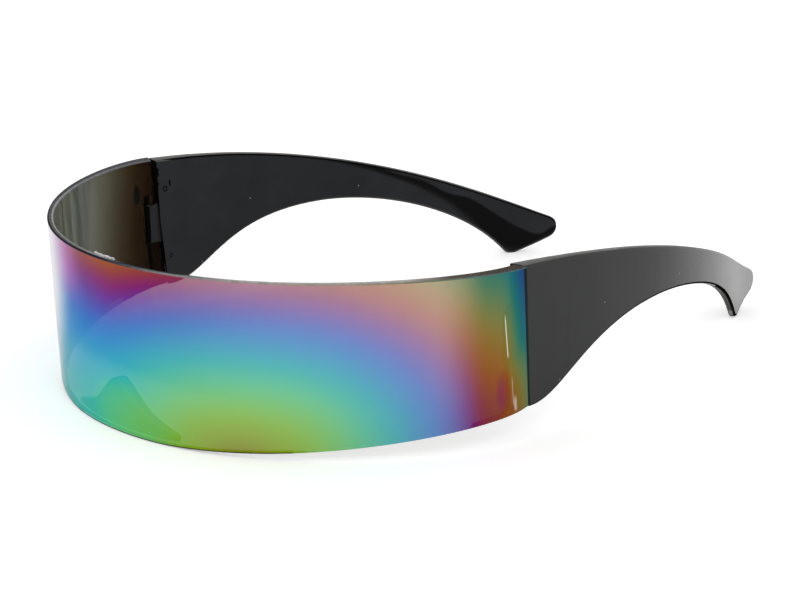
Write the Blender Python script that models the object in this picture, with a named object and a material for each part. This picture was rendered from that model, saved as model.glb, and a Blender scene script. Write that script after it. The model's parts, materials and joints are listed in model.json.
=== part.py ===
"""Wrap-around visor sunglasses, folded open and resting on their lower rim and temple tips.

One mirrored band is the lens. A flat plastic temple is hinged to each end of it on a steel pin, and
a moulded nose rest sits inside the band, low in the middle. Lengths are in metres, with +Z up. The
wearer looks along -Y, so +X is the wearer's left side. The origin lies below the middle of the part.
"""

import math

import bmesh
import bpy
from mathutils import Vector

# Band, seen from above. Its outer top edge is one cubic curve on each side of the middle.
LENS_HALF_WIDTH = 0.0725
LENS_DEPTH = 0.0654
FRONT_HANDLE = 0.0495
END_HANDLE = 0.0164
END_TOE_IN = math.radians(10.65)

# Band, seen from the side.
LENS_HEIGHT = 0.0419
TOP_DROP = 0.0007
BOTTOM_RISE = 0.0070
REST_HALF_LENGTH_SHARE = 0.03
BOTTOM_INSET = 0.0011
LENS_WALL = 0.0014
LENS_END_WALL = 0.0037
LENS_EDGE_RADIUS = 0.0004

# Joint between the band and a temple. The relief bevels the temple's inner front edge.
JOINT_SLANT = math.radians(22.0)
JOINT_LEAN = math.radians(4.5)
JOINT_GAP = 0.0003
JOINT_RELIEF = 0.0009
JOINT_RELIEF_TURN = math.radians(45.0)
JOINT_OVERRUN = 0.0060

# Hinge. Its axis is vertical, near the band's inner face, and the pin goes in from below.
HINGE_SETBACK = 0.0022
HINGE_DEPTH = 0.0033
TONGUE_BOTTOM = 0.0190
TONGUE_HEIGHT = 0.0101
BARREL_RADIUS = 0.0012
BARREL_CLEARANCE = 0.0003
TONGUE_REACH = 0.0045
POCKET_REACH = 0.0030
LUG_UPPER_HEIGHT = 0.0024
LUG_LOWER_HEIGHT = 0.0070
PIN_RADIUS = 0.0004
PIN_CLEARANCE = 0.0002
PIN_ENGAGEMENT = 0.0016

# Temple, seen from above: its outer face follows one cubic curve.
TEMPLE_INSET = 0.0006
TEMPLE_FRONT_HANDLE = 0.0941
TEMPLE_FRONT_TOE_IN = math.radians(4.77)
TEMPLE_TIP_HALF_SPACING = 0.03705
TEMPLE_TIP_RUN = 0.1217
TEMPLE_TIP_HANDLE = 0.0242
TEMPLE_TIP_TOE_IN = math.radians(5.0)
TEMPLE_WALL = 0.0023
TEMPLE_HINGE_WALL = 0.0043
TEMPLE_HINGE_TAPER = 0.0350
TEMPLE_TIP_WALL = 0.0015
TEMPLE_TIP_TAPER = 0.0400
TEMPLE_EDGE_RADIUS = 0.0006

# Temple, seen from the side: heights above the table and places along its length.
TEMPLE_FRONT_TOP = 0.0413
TEMPLE_FRONT_BOTTOM = 0.0071
ARCH_PLACE_SHARE = 0.404
ARCH_HEIGHT = 0.0215
TIP_SOLE_RUN = 0.0199
TIP_TOP = 0.0059
TIP_CORNER_RADIUS = 0.0032
HEEL_CORNER_RADIUS = 0.0035
TIP_REST_CUT = 0.0008

# Handles of the temple's side outline, as shares of its length along and of its front top up.
TOP_FRONT_HANDLE_SHARES = (0.420, -0.071)
TOP_TIP_HANDLE_SHARES = (-0.238, 0.372)
BOTTOM_FRONT_HANDLE_SHARES = (0.113, -0.069)
ARCH_FRONT_HANDLE_SHARE = 0.256
ARCH_REAR_HANDLE_SHARE = 0.142
HEEL_HANDLE_SHARES = (-0.086, 0.366)

# Nose rest: a pad with a bell outline inside the band, dished towards the nose.
NOSE_HALF_WIDTH = 0.0203
NOSE_HEIGHT = 0.0115
NOSE_SPREAD = 0.0083
NOSE_FOOT_HEIGHT = 0.0012
NOSE_RIDGE_DEPTH = 0.0030
NOSE_DISH_DEPTH = 0.0014
NOSE_GAP = 0.0003
NOSE_RIM_OFFSET = 0.0007
NOSE_RIDGE_START_SHARE = 0.8

# Counts that set how fine the curves are.
LENS_STATIONS = 44
CORNER_STEPS = 2
TIP_STEPS = 8
OUTLINE_STEPS = 28
LENGTH_STEPS = 160
TEMPLE_STATIONS = 36
ROUND_STEPS = 24
NOSE_COLUMNS = 28
NOSE_ROWS = 6
NOSE_FADE_POWER = 6
BISECTIONS = 40

# Edges that are sharper than this are shaded sharp.
SHARP_ANGLE = math.radians(35.0)


def blend(low, high, share):
    return low + (high - low) * share


def ease(share):
    """Rises smoothly from 0 to 1 while the share goes from 0 to 1."""
    share = min(max(share, 0.0), 1.0)
    return share * share * (3.0 - 2.0 * share)


def bezier(points, share):
    """A point on a cubic Bezier curve."""
    a, b, c, d = points
    rest = 1.0 - share
    return rest**3 * a + 3.0 * rest**2 * share * b + 3.0 * rest * share**2 * c + share**3 * d


def bezier_slope(points, share):
    """The curve's unit direction."""
    a, b, c, d = points
    rest = 1.0 - share
    way = rest**2 * (b - a) + 2.0 * rest * share * (c - b) + share**2 * (d - c)
    return way.normalized()


def inward_of(way):
    """The unit vector to the left of a direction, which points into the part on its +X side."""
    return Vector((-way.y, way.x))


# The band's outer top edge on the +X side, and the frame at its end.
END_WAY = Vector((-math.sin(END_TOE_IN), math.cos(END_TOE_IN)))
BAND_CURVE = (
    Vector((0.0, 0.0)),
    Vector((FRONT_HANDLE, 0.0)),
    Vector((LENS_HALF_WIDTH, LENS_DEPTH)) - END_HANDLE * END_WAY,
    Vector((LENS_HALF_WIDTH, LENS_DEPTH)),
)


def band_top(way_back):
    """Height of the band's top edge, for a share of the way from the front to the ends."""
    return LENS_HEIGHT - TOP_DROP * way_back**2


def band_bottom(way_back):
    """Height of its bottom edge, which is level in the middle, where the part rests."""
    rise = max(0.0, way_back - REST_HALF_LENGTH_SHARE) / (1.0 - REST_HALF_LENGTH_SHARE)
    return BOTTOM_RISE * rise


def band_station(share, run=0.0):
    """Plan point, inward direction and way back at a share of the +X half, and run past its end."""
    point = bezier(BAND_CURVE, share)
    way = bezier_slope(BAND_CURVE, share)
    point = point + run * way
    return point, inward_of(way), point.y / LENS_DEPTH


def band_share(across):
    """The share of the +X half at which the band's top edge lies this far from the middle."""
    low = 0.0
    high = 1.0
    for _ in range(BISECTIONS):
        middle = (low + high) / 2.0
        if bezier(BAND_CURVE, middle).x < across:
            low = middle
        else:
            high = middle
    return low


def band_point(share, run, depth, height):
    """A point at this depth behind the band's outer face, at this height, on its +X half."""
    point, inward, way_back = band_station(share, run)
    low = band_bottom(way_back)
    high = band_top(way_back)
    inset = BOTTOM_INSET * (high - height) / (high - low)
    point = point + (inset + depth) * inward
    return Vector((point.x, point.y, height))


def band_wall(way_back):
    """Thickness of the band, which grows towards the hinges."""
    return blend(LENS_WALL, LENS_END_WALL, min(way_back, 1.0) ** 2)


def joint_plane(extra):
    """Point and backward normal of the plane where band and temple meet, moved back by extra."""
    flat = Vector((-math.sin(JOINT_SLANT), math.cos(JOINT_SLANT), 0.0))
    normal = Vector((flat.x, flat.y, math.tan(JOINT_LEAN))).normalized()
    corner = Vector((LENS_HALF_WIDTH, LENS_DEPTH, band_top(1.0)))
    return corner + extra * flat, normal


def relief_plane():
    """Point and outward normal of the bevel on the temple's inner front edge."""
    place, _ = joint_plane(JOINT_GAP)
    across = Vector((-math.cos(JOINT_SLANT), -math.sin(JOINT_SLANT), 0.0))
    place += (TEMPLE_HINGE_WALL / math.cos(JOINT_SLANT) - JOINT_RELIEF) * across
    turn = JOINT_SLANT + JOINT_RELIEF_TURN
    return place, Vector((-math.cos(turn), -math.sin(turn), 0.0))


def hinge_axis():
    """Plan point of the +X hinge's vertical axis."""
    height = TONGUE_BOTTOM + TONGUE_HEIGHT / 2.0
    end = band_point(1.0, 0.0, HINGE_DEPTH, height)
    place = end.to_2d() - HINGE_SETBACK * END_WAY
    return Vector((place.x, place.y, 0.0))


def material(name, color, roughness, metallic=0.0, coat=0.0):
    made = bpy.data.materials.new(name)
    made.use_nodes = True
    shader = made.node_tree.nodes["Principled BSDF"]
    shader.inputs["Base Color"].default_value = (*color, 1.0)
    shader.inputs["Roughness"].default_value = roughness
    shader.inputs["Metallic"].default_value = metallic
    shader.inputs["Coat Weight"].default_value = coat
    return made


def new_object(name, build, finish=None):
    """An object whose mesh the build function fills in, with its faces turned outwards."""
    mesh = bpy.data.meshes.new(name)
    cage = bmesh.new()
    build(cage)
    bmesh.ops.recalc_face_normals(cage, faces=cage.faces)
    cage.to_mesh(mesh)
    cage.free()
    mesh.shade_smooth()
    mesh.set_sharp_from_angle(angle=SHARP_ANGLE)
    made = bpy.data.objects.new(name, mesh)
    bpy.context.scene.collection.objects.link(made)
    if finish is None:
        made.hide_render = True
        made.display_type = "WIRE"
    else:
        mesh.materials.append(finish)
    return made


def add_boolean(target, tool, operation):
    modifier = target.modifiers.new(f"{operation.lower()} {tool.name}", "BOOLEAN")
    modifier.operation = operation
    modifier.solver = "EXACT"
    modifier.object = tool


def move_mesh(thing, shift):
    for vertex in thing.data.vertices:
        vertex.co += shift


def mirror_mesh(cage):
    """Turns a +X shape into its -X twin."""
    for vertex in cage.verts:
        vertex.co.x = -vertex.co.x


def loft(cage, rings):
    """Closed rings of equal count joined into a tube with flat ends."""
    made = [[cage.verts.new(point) for point in ring] for ring in rings]
    for first, second in zip(made, made[1:]):
        for i, vertex in enumerate(first):
            j = (i + 1) % len(first)
            cage.faces.new((vertex, first[j], second[j], second[i]))
    cage.faces.new(made[0])
    cage.faces.new(made[-1])


def cut_at(cage, place, normal, side=0.0):
    """Removes what lies beyond a plane, on one side of the part if that is given, and closes the cut."""
    faces = [face for face in cage.faces if face.calc_center_median().x * side >= 0.0]
    edges = {edge for face in faces for edge in face.edges}
    points = {vertex for face in faces for vertex in face.verts}
    geometry = [*points, *edges, *faces]
    cut = bmesh.ops.bisect_plane(
        cage, geom=geometry, plane_co=place, plane_no=normal, clear_outer=True
    )
    edges = [item for item in cut["geom_cut"] if isinstance(item, bmesh.types.BMEdge)]
    bmesh.ops.edgeloop_fill(cage, edges=edges)


def band_profile(wall, low, high):
    """The band's cross-section as (depth, height) pairs, with rounded corners."""
    reach = LENS_EDGE_RADIUS
    centres = (
        (reach, low + reach, 180.0),
        (wall - reach, low + reach, 270.0),
        (wall - reach, high - reach, 0.0),
        (reach, high - reach, 90.0),
    )
    pairs = []
    for depth, height, start in centres:
        for step in range(CORNER_STEPS + 1):
            angle = math.radians(start + 90.0 * step / CORNER_STEPS)
            pairs.append((depth + reach * math.cos(angle), height + reach * math.sin(angle)))
    return pairs


def band_ring(side, share, run):
    way_back = band_station(share, run)[2]
    profile = band_profile(band_wall(way_back), band_bottom(way_back), band_top(way_back))
    ring = [band_point(share, run, depth, height) for depth, height in profile]
    return [Vector((side * point.x, point.y, point.z)) for point in ring]


def build_band(cage):
    """The lens band: rings along both halves, cut back to the joint planes."""
    half = [(step / LENS_STATIONS, 0.0) for step in range(LENS_STATIONS + 1)]
    half.append((1.0, JOINT_OVERRUN))
    rings = [band_ring(-1.0, share, run) for share, run in reversed(half[1:])]
    rings += [band_ring(1.0, share, run) for share, run in half]
    loft(cage, rings)
    for side in (-1.0, 1.0):
        place, normal = joint_plane(0.0)
        place.x *= side
        normal.x *= side
        cut_at(cage, place, normal, side)


def slot_outline(radius, length):
    """A tongue's outline about the hinge axis: round towards the front, straight towards the back."""
    points = []
    for step in range(ROUND_STEPS // 2 + 1):
        angle = math.pi + math.pi * step / (ROUND_STEPS // 2)
        points.append(Vector((radius * math.cos(angle), radius * math.sin(angle))))
    return [*points, Vector((radius, length)), Vector((-radius, length))]


def round_outline(radius):
    steps = (math.tau * (step + 0.5) / ROUND_STEPS for step in range(ROUND_STEPS))
    return [Vector((radius * math.cos(angle), radius * math.sin(angle))) for angle in steps]


def prism(outline, low, high, place):
    """A build function for an upright prism on a plan outline."""

    def build(cage):
        rings = [[Vector((*point, height)) + place for point in outline] for height in (low, high)]
        loft(cage, rings)

    return build


TONGUE_TOP = TONGUE_BOTTOM + TONGUE_HEIGHT
POCKET_BOTTOM = TONGUE_BOTTOM - BARREL_CLEARANCE
POCKET_TOP = TONGUE_TOP + BARREL_CLEARANCE
PIN_BOTTOM = POCKET_BOTTOM - PIN_ENGAGEMENT
PIN_TOP = POCKET_TOP + PIN_ENGAGEMENT
BORE_RADIUS = PIN_RADIUS + PIN_CLEARANCE


def pocket_outline(side):
    """The tongue's outline with its clearance, opened towards the inside, where the tongue swings."""
    radius = BARREL_RADIUS + BARREL_CLEARANCE
    length = TONGUE_REACH + JOINT_OVERRUN
    outer_quarter = slot_outline(radius, length)[ROUND_STEPS // 4:-2]
    corner = [Vector((side * point.x, point.y)) for point in outer_quarter]
    inner = -side * POCKET_REACH
    return [*corner, Vector((side * radius, length)), Vector((inner, length)), Vector((inner, -radius))]


def add_hinge_seat(band, side, word):
    """One hinge's lug, the pocket for the temple's tongue, and the pin bore, open at the lower edge."""
    axis = hinge_axis()
    axis.x *= side
    lug_low = POCKET_BOTTOM - LUG_LOWER_HEIGHT
    lug_high = POCKET_TOP + LUG_UPPER_HEIGHT
    lug = new_object(f"lug_{word}", prism(round_outline(BARREL_RADIUS), lug_low, lug_high, axis))
    outline = pocket_outline(side)
    pocket = new_object(f"pocket_{word}", prism(outline, POCKET_BOTTOM, POCKET_TOP, axis))
    bore_top = PIN_TOP + PIN_CLEARANCE
    bore = new_object(f"bore_{word}", prism(round_outline(BORE_RADIUS), -JOINT_OVERRUN, bore_top, axis))
    add_boolean(band, lug, "UNION")
    add_boolean(band, pocket, "DIFFERENCE")
    add_boolean(band, bore, "DIFFERENCE")
    return [lug, pocket, bore]


TEMPLE_START = Vector((LENS_HALF_WIDTH - TEMPLE_INSET, LENS_DEPTH))
TEMPLE_START_WAY = Vector((-math.sin(TEMPLE_FRONT_TOE_IN), math.cos(TEMPLE_FRONT_TOE_IN)))
TEMPLE_END = Vector((TEMPLE_TIP_HALF_SPACING, LENS_DEPTH + TEMPLE_TIP_RUN))
TEMPLE_END_WAY = Vector((-math.sin(TEMPLE_TIP_TOE_IN), math.cos(TEMPLE_TIP_TOE_IN)))
TEMPLE_CURVE = (
    TEMPLE_START,
    TEMPLE_START + TEMPLE_FRONT_HANDLE * TEMPLE_START_WAY,
    TEMPLE_END - TEMPLE_TIP_HANDLE * TEMPLE_END_WAY,
    TEMPLE_END,
)


def run_lengths(points):
    """Lengths along a cubic curve from its start to evenly spaced shares of it."""
    runs = [0.0]
    for step in range(LENGTH_STEPS):
        chord = bezier(points, (step + 1) / LENGTH_STEPS) - bezier(points, step / LENGTH_STEPS)
        runs.append(runs[-1] + chord.length)
    return runs


TEMPLE_RUNS = run_lengths(TEMPLE_CURVE)
TEMPLE_LENGTH = TEMPLE_RUNS[-1]


def temple_share(place):
    """The share of the plan curve that lies at a length along it."""
    place = min(max(place, 0.0), TEMPLE_LENGTH)
    step = 0
    while step < LENGTH_STEPS - 1 and TEMPLE_RUNS[step + 1] < place:
        step += 1
    part = (place - TEMPLE_RUNS[step]) / (TEMPLE_RUNS[step + 1] - TEMPLE_RUNS[step])
    return (step + part) / LENGTH_STEPS


def temple_wall(place):
    """Thickness of the temple at a place along it: thick at the hinge, and a little at the tip."""
    near = max(0.0, 1.0 - max(place, 0.0) / TEMPLE_HINGE_TAPER)
    far = ease((place - TEMPLE_LENGTH + TEMPLE_TIP_TAPER) / TEMPLE_TIP_TAPER)
    wall = blend(TEMPLE_WALL, TEMPLE_HINGE_WALL, near**2)
    return blend(wall, TEMPLE_TIP_WALL, far)


def temple_inset(place, height):
    """How far the temple follows the inward lean of the band's end, which fades along it."""
    near = ease(1.0 - max(place, 0.0) / TEMPLE_HINGE_TAPER)
    return BOTTOM_INSET * near * (TEMPLE_FRONT_TOP - height) / TEMPLE_FRONT_TOP


def temple_point(place, depth_share, height):
    """Where a point of the flat blank goes when the temple is bent to its plan curve."""
    share = temple_share(place)
    way = bezier_slope(TEMPLE_CURVE, share)
    past = min(place, 0.0) + max(place - TEMPLE_LENGTH, 0.0)
    point = bezier(TEMPLE_CURVE, share) + past * way
    depth = temple_inset(place, height) + depth_share * temple_wall(place)
    point = point + depth * inward_of(way)
    return Vector((point.x, point.y, height))


def handle(shares):
    return Vector((shares[0] * TEMPLE_LENGTH, shares[1] * TEMPLE_FRONT_TOP))


def curve_points(points):
    return [bezier(points, step / OUTLINE_STEPS) for step in range(OUTLINE_STEPS + 1)]


def rounded_corner(before, corner, after, radius):
    """Points of an arc that replaces a corner between two straight stretches."""
    back = (before - corner).normalized()
    on = (after - corner).normalized()
    half = back.angle(on) / 2.0
    reach = radius / math.tan(half)
    centre = corner + (back + on).normalized() * radius / math.sin(half)
    start = corner + back * reach - centre
    end = corner + on * reach - centre
    turn = start.angle_signed(end)
    points = []
    for step in range(TIP_STEPS + 1):
        angle = -turn * step / TIP_STEPS
        arm = Vector((
            start.x * math.cos(angle) - start.y * math.sin(angle),
            start.x * math.sin(angle) + start.y * math.cos(angle),
        ))
        points.append(centre + arm)
    return points, reach


def temple_outline():
    """The temple's side outline as (place along it, height) points, going round once."""
    front_top = Vector((0.0, TEMPLE_FRONT_TOP))
    front_bottom = Vector((0.0, TEMPLE_FRONT_BOTTOM))
    arch = Vector((ARCH_PLACE_SHARE * TEMPLE_LENGTH, ARCH_HEIGHT))
    heel = Vector((TEMPLE_LENGTH - TIP_SOLE_RUN, -TIP_REST_CUT))
    tip = Vector((TEMPLE_LENGTH, TIP_TOP))
    top = curve_points((front_top, front_top + handle(TOP_FRONT_HANDLE_SHARES),
                        tip + handle(TOP_TIP_HANDLE_SHARES), tip))
    front_arch = curve_points((front_bottom, front_bottom + handle(BOTTOM_FRONT_HANDLE_SHARES),
                               arch - Vector((ARCH_FRONT_HANDLE_SHARE * TEMPLE_LENGTH, 0.0)), arch))
    rear_arch = curve_points((arch, arch + Vector((ARCH_REAR_HANDLE_SHARE * TEMPLE_LENGTH, 0.0)),
                              heel + handle(HEEL_HANDLE_SHARES), heel))
    tip_arc, tip_reach = rounded_corner(top[-2], tip, heel, TIP_CORNER_RADIUS)
    heel_arc, heel_reach = rounded_corner(tip, heel, rear_arch[-2], HEEL_CORNER_RADIUS)
    top = [point for point in top if (point - tip).length > tip_reach]
    rear_arch = [point for point in rear_arch if (point - heel).length > heel_reach]
    bottom = front_arch[:-1] + rear_arch
    ahead = Vector((-JOINT_OVERRUN, 0.0))
    return [front_top + ahead, *top, *tip_arc, *heel_arc, *reversed(bottom), front_bottom + ahead]


def inset_outline(points, amount):
    """An outline that runs clockwise, moved inwards and square to its own direction."""
    moved = []
    for before, point, after in zip(points[-1:] + points[:-1], points, points[1:] + points[:1]):
        back = (point - before).normalized()
        on = (after - point).normalized()
        inward = Vector((back.y + on.y, -back.x - on.x)) / (1.0 + back.dot(on))
        moved.append(point + amount * inward)
    return moved


def blank_rings(outline):
    """The blank's outline at each depth of its wall, with both rims rounded."""
    steps = []
    for step in range(CORNER_STEPS + 1):
        angle = math.radians(90.0 * step / CORNER_STEPS)
        depth = TEMPLE_EDGE_RADIUS * (1.0 - math.cos(angle))
        steps.append((depth, TEMPLE_EDGE_RADIUS * (1.0 - math.sin(angle))))
    steps += [(TEMPLE_WALL - depth, inset) for depth, inset in reversed(steps)]
    rings = []
    for depth, inset in steps:
        ring = inset_outline(outline, inset)
        rings.append([Vector((point.x, depth, point.y)) for point in ring])
    return rings


def build_temple(cage):
    """A flat blank with rounded rims, bent to the plan curve and cut to the joint plane."""
    loft(cage, blank_rings(temple_outline()))
    for step in range(1, TEMPLE_STATIONS):
        place = blend(-JOINT_OVERRUN, TEMPLE_LENGTH, step / TEMPLE_STATIONS)
        geometry = cage.verts[:] + cage.edges[:] + cage.faces[:]
        across = Vector((place, 0.0, 0.0))
        bmesh.ops.bisect_plane(cage, geom=geometry, plane_co=across, plane_no=Vector((1.0, 0.0, 0.0)))
    for vertex in cage.verts:
        vertex.co = temple_point(vertex.co.x, vertex.co.y / TEMPLE_WALL, vertex.co.z)
    place, normal = joint_plane(JOINT_GAP)
    cut_at(cage, place, -normal)
    place, normal = relief_plane()
    cut_at(cage, place, normal)
    cut_at(cage, Vector((0.0, 0.0, 0.0)), Vector((0.0, 0.0, -1.0)))


def make_temple(side, word, finish, frame):
    """One temple with its tongue, hung on an empty that stands on its hinge axis."""
    axis = hinge_axis()
    tongue_outline = slot_outline(BARREL_RADIUS, TONGUE_REACH)
    tongue = prism(tongue_outline, TONGUE_BOTTOM, TONGUE_TOP, axis)
    bore_outline = round_outline(BORE_RADIUS)
    bore = prism(bore_outline, TONGUE_BOTTOM - JOINT_OVERRUN, TONGUE_TOP + JOINT_OVERRUN, axis)
    temple = new_object(f"temple_{word}", sided(build_temple, side), finish)
    for build, name, operation in ((tongue, "tongue", "UNION"), (bore, "eye", "DIFFERENCE")):
        tool = new_object(f"{name}_{word}", sided(build, side))
        add_boolean(temple, tool, operation)
        hang(tool, side, axis, frame)
    hinge = hang(temple, side, axis, frame)
    hinge.name = f"hinge_axis_{word}"
    return temple


def sided(build, side):
    """The build function itself, or its mirror image for the -X side."""

    def build_side(cage):
        build(cage)
        if side < 0.0:
            mirror_mesh(cage)

    return build_side


def hang(thing, side, axis, frame):
    """Gives a piece its origin on the hinge axis, on an empty that the frame carries."""
    place = Vector((side * axis.x, axis.y, 0.0))
    move_mesh(thing, -place)
    pivot = bpy.data.objects.new(f"pivot_{thing.name}", None)
    bpy.context.scene.collection.objects.link(pivot)
    pivot.location = place
    pivot.parent = frame
    thing.parent = pivot
    return pivot


def make_pin(side, word, finish):
    axis = hinge_axis()
    axis.x *= side
    rod = prism(round_outline(PIN_RADIUS), PIN_BOTTOM, PIN_TOP, axis)
    return new_object(f"hinge_pin_{word}", rod, finish)


def nose_top(across):
    """Height of the nose rest's bell outline at a distance from the middle."""
    bell = 1.0 / (1.0 + (across / NOSE_SPREAD) ** 2)
    tail = 1.0 / (1.0 + (NOSE_HALF_WIDTH / NOSE_SPREAD) ** 2)
    return NOSE_RIM_OFFSET + blend(NOSE_FOOT_HEIGHT, NOSE_HEIGHT, (bell - tail) / (1.0 - tail))


def build_nose_rest(cage):
    """A pad that lies along the band's inner face, ridged along its bell outline and dished below."""
    front = []
    back = []
    for column in range(NOSE_COLUMNS + 1):
        turn = blend(-1.0, 1.0, column / NOSE_COLUMNS)
        side = math.copysign(1.0, turn)
        share = band_share(abs(turn) * NOSE_HALF_WIDTH)
        point, _, way_back = band_station(share)
        top = nose_top(point.x)
        low = band_bottom(way_back) + NOSE_RIM_OFFSET
        skin = band_wall(way_back) + NOSE_GAP
        fade = 1.0 - turn**NOSE_FADE_POWER
        front_row = []
        back_row = []
        for row in range(NOSE_ROWS + 1):
            up = row / NOSE_ROWS
            height = blend(low, top, up)
            ridge = blend(NOSE_DISH_DEPTH, NOSE_RIDGE_DEPTH, ease(up / NOSE_RIDGE_START_SHARE))
            depth = blend(NOSE_DISH_DEPTH, ridge, fade)
            for line, place in ((front_row, skin), (back_row, skin + depth)):
                spot = band_point(share, 0.0, place, height)
                line.append(cage.verts.new((side * spot.x, spot.y, spot.z)))
        front.append(front_row)
        back.append(back_row)
    for i in range(NOSE_COLUMNS):
        for j in range(NOSE_ROWS):
            cage.faces.new((front[i][j], front[i + 1][j], front[i + 1][j + 1], front[i][j + 1]))
            cage.faces.new((back[i][j], back[i][j + 1], back[i + 1][j + 1], back[i + 1][j]))
        for j in (0, NOSE_ROWS):
            cage.faces.new((front[i][j], back[i][j], back[i + 1][j], front[i + 1][j]))
    for j in range(NOSE_ROWS):
        for i in (0, NOSE_COLUMNS):
            cage.faces.new((front[i][j], front[i][j + 1], back[i][j + 1], back[i][j]))


def clear_scene():
    for thing in list(bpy.data.objects):
        bpy.data.objects.remove(thing, do_unlink=True)


def main():
    clear_scene()
    mirrored = material("rainbow mirror lens", (0.28, 0.42, 0.55), 0.08, 0.7, 0.5)
    black = material("black temple plastic", (0.028, 0.029, 0.031), 0.36)
    smoke = material("smoky nose rest plastic", (0.06, 0.055, 0.05), 0.2)
    steel = material("steel pin", (0.55, 0.55, 0.56), 0.3, 1.0)

    frame = bpy.data.objects.new("sunglasses_frame", None)
    bpy.context.scene.collection.objects.link(frame)
    band = new_object("lens_shield", build_band, mirrored)
    carried = [band, new_object("nose_rest", build_nose_rest, smoke)]
    for side, word in ((1.0, "left"), (-1.0, "right")):
        carried += add_hinge_seat(band, side, word)
        carried.append(make_pin(side, word, steel))
        temple = make_temple(side, word, black, frame)
    for thing in carried:
        thing.parent = frame
    depth = hinge_axis().y + max(vertex.co.y for vertex in temple.data.vertices)
    frame.location.y = -depth / 2.0


main()
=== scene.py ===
"""The looks of the wrap-around visor sunglasses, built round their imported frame.

Lengths are in metres, with +Z up. The wearer looks along -Y, so +X is the wearer's left side.
"""

import json
import math

import bpy
from mathutils import Matrix, Vector

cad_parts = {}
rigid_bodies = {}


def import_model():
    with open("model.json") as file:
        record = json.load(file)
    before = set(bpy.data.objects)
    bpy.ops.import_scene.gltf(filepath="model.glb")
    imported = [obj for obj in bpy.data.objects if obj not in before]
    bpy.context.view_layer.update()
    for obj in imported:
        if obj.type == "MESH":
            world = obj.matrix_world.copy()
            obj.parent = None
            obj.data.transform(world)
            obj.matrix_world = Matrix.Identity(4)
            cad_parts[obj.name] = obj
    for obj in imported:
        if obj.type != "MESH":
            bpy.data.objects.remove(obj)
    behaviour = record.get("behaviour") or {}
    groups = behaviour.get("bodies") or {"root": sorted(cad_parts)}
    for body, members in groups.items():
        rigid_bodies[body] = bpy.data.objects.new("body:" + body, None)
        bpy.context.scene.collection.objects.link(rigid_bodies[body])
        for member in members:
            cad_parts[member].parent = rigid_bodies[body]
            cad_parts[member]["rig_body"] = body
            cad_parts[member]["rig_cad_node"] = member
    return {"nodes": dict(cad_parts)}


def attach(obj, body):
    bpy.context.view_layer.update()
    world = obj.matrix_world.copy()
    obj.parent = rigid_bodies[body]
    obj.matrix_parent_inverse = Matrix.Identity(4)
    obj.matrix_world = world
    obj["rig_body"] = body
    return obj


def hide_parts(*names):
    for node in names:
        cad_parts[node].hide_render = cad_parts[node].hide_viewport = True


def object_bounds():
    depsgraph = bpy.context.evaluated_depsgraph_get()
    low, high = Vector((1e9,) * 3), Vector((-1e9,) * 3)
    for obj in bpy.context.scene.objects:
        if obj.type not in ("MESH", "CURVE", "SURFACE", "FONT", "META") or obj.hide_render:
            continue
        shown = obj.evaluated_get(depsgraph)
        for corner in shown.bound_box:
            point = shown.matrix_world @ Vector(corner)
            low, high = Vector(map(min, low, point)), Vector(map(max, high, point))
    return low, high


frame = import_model()
CAD_LOW, CAD_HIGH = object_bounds()

bl_info = {
    "name": "Visor sunglasses",
    "version": (1, 0, 0),
    "blender": (4, 5, 0),
    "location": "3D View > Sidebar > Sunglasses",
    "description": "Builds a mirrored wrap-around visor with folding temples",
    "category": "Add Mesh",
}

MERGE_DISTANCE = 0.00002
FLAT_ANGLE = math.radians(0.2)
SMOOTH_ANGLE = math.radians(30.0)

# The band is nearly a round wall about an upright axis. Its run is the signed length round that axis.
BAND_CENTRE_Y = -0.016
BAND_RADIUS = 0.074495
BAND_OUTER_LIMIT = 0.0708
BAND_TOP = 0.0419
BAND_END_RUN = 0.093

# The painted shade of the gap before the temples, a dark seam: where it starts at the band's foot, its lean
# and its soft border.
SEAM_RUN = 0.1090
SEAM_LEAN = -0.070
SEAM_BORDER = 0.0002
SEAM_SHADE_TINT = (0.003, 0.003, 0.003)

# Sideways place on the colour rings against run, drawn out along the band. The two ends come first.
CURVE_REACH = 0.110
RING_SPREAD = (
    (-0.110, -0.0530),
    (0.110, 0.0600),
    (-0.097, -0.0420),
    (-0.080, -0.0290),
    (-0.060, -0.0235),
    (-0.020, -0.0213),
    (-0.005, -0.0198),
    (0.005, -0.0177),
    (0.015, -0.0130),
    (0.038, 0.0),
    (0.050, 0.0061),
    (0.070, 0.0197),
    (0.090, 0.0358),
    (0.096, 0.0420),
    (0.099, 0.0430),
    (0.1015, 0.0455),
    (0.103, 0.0488),
    (0.106, 0.0560),
)
RING_REACH = 0.070

# Two bands each of red, green and blue light in the rings. A band has the places where it starts,
# peaks and ends, as shares of the rings' reach, and its strength.
LIGHT_BANDS = (
    ((-0.23, 0.06, 0.36, 0.29), (0.43, 0.66, 0.88, 0.30)),
    ((-0.18, 0.21, 0.57, 0.56), (0.56, 0.78, 1.08, 0.20)),
    ((0.08, 0.42, 0.65, 0.52), (0.66, 0.98, 1.40, 0.20)),
)
LEAST_LIGHT = 0.01
RING_STEPS = 28

# Spots where the rings are pulled in: middle and reach along run and height, and depth.
PULLED_RING_SPOTS = (
    ((0.1007, 0.0132), (0.0026, 0.0065), 0.0030),
    ((0.1065, 0.0040), (0.0055, 0.0220), 0.0060),
    ((0.0040, 0.0060), (0.0130, 0.0090), 0.0030),
    ((-0.0280, 0.0400), (0.0340, 0.0220), 0.0030),
)

# Thin upright glints: run at the foot, lean, half width, lowest and highest place, strength.
GLINTS = (
    (0.1037, -0.095, 0.00022, 0.0205, 0.0315, 0.70),
    (0.1042, -0.080, 0.00022, 0.0085, 0.0165, 0.25),
    (0.1048, -0.080, 0.00060, 0.0072, 0.0118, 0.45),
)
GLINT_TINT = (1.0, 0.96, 0.9)

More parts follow.
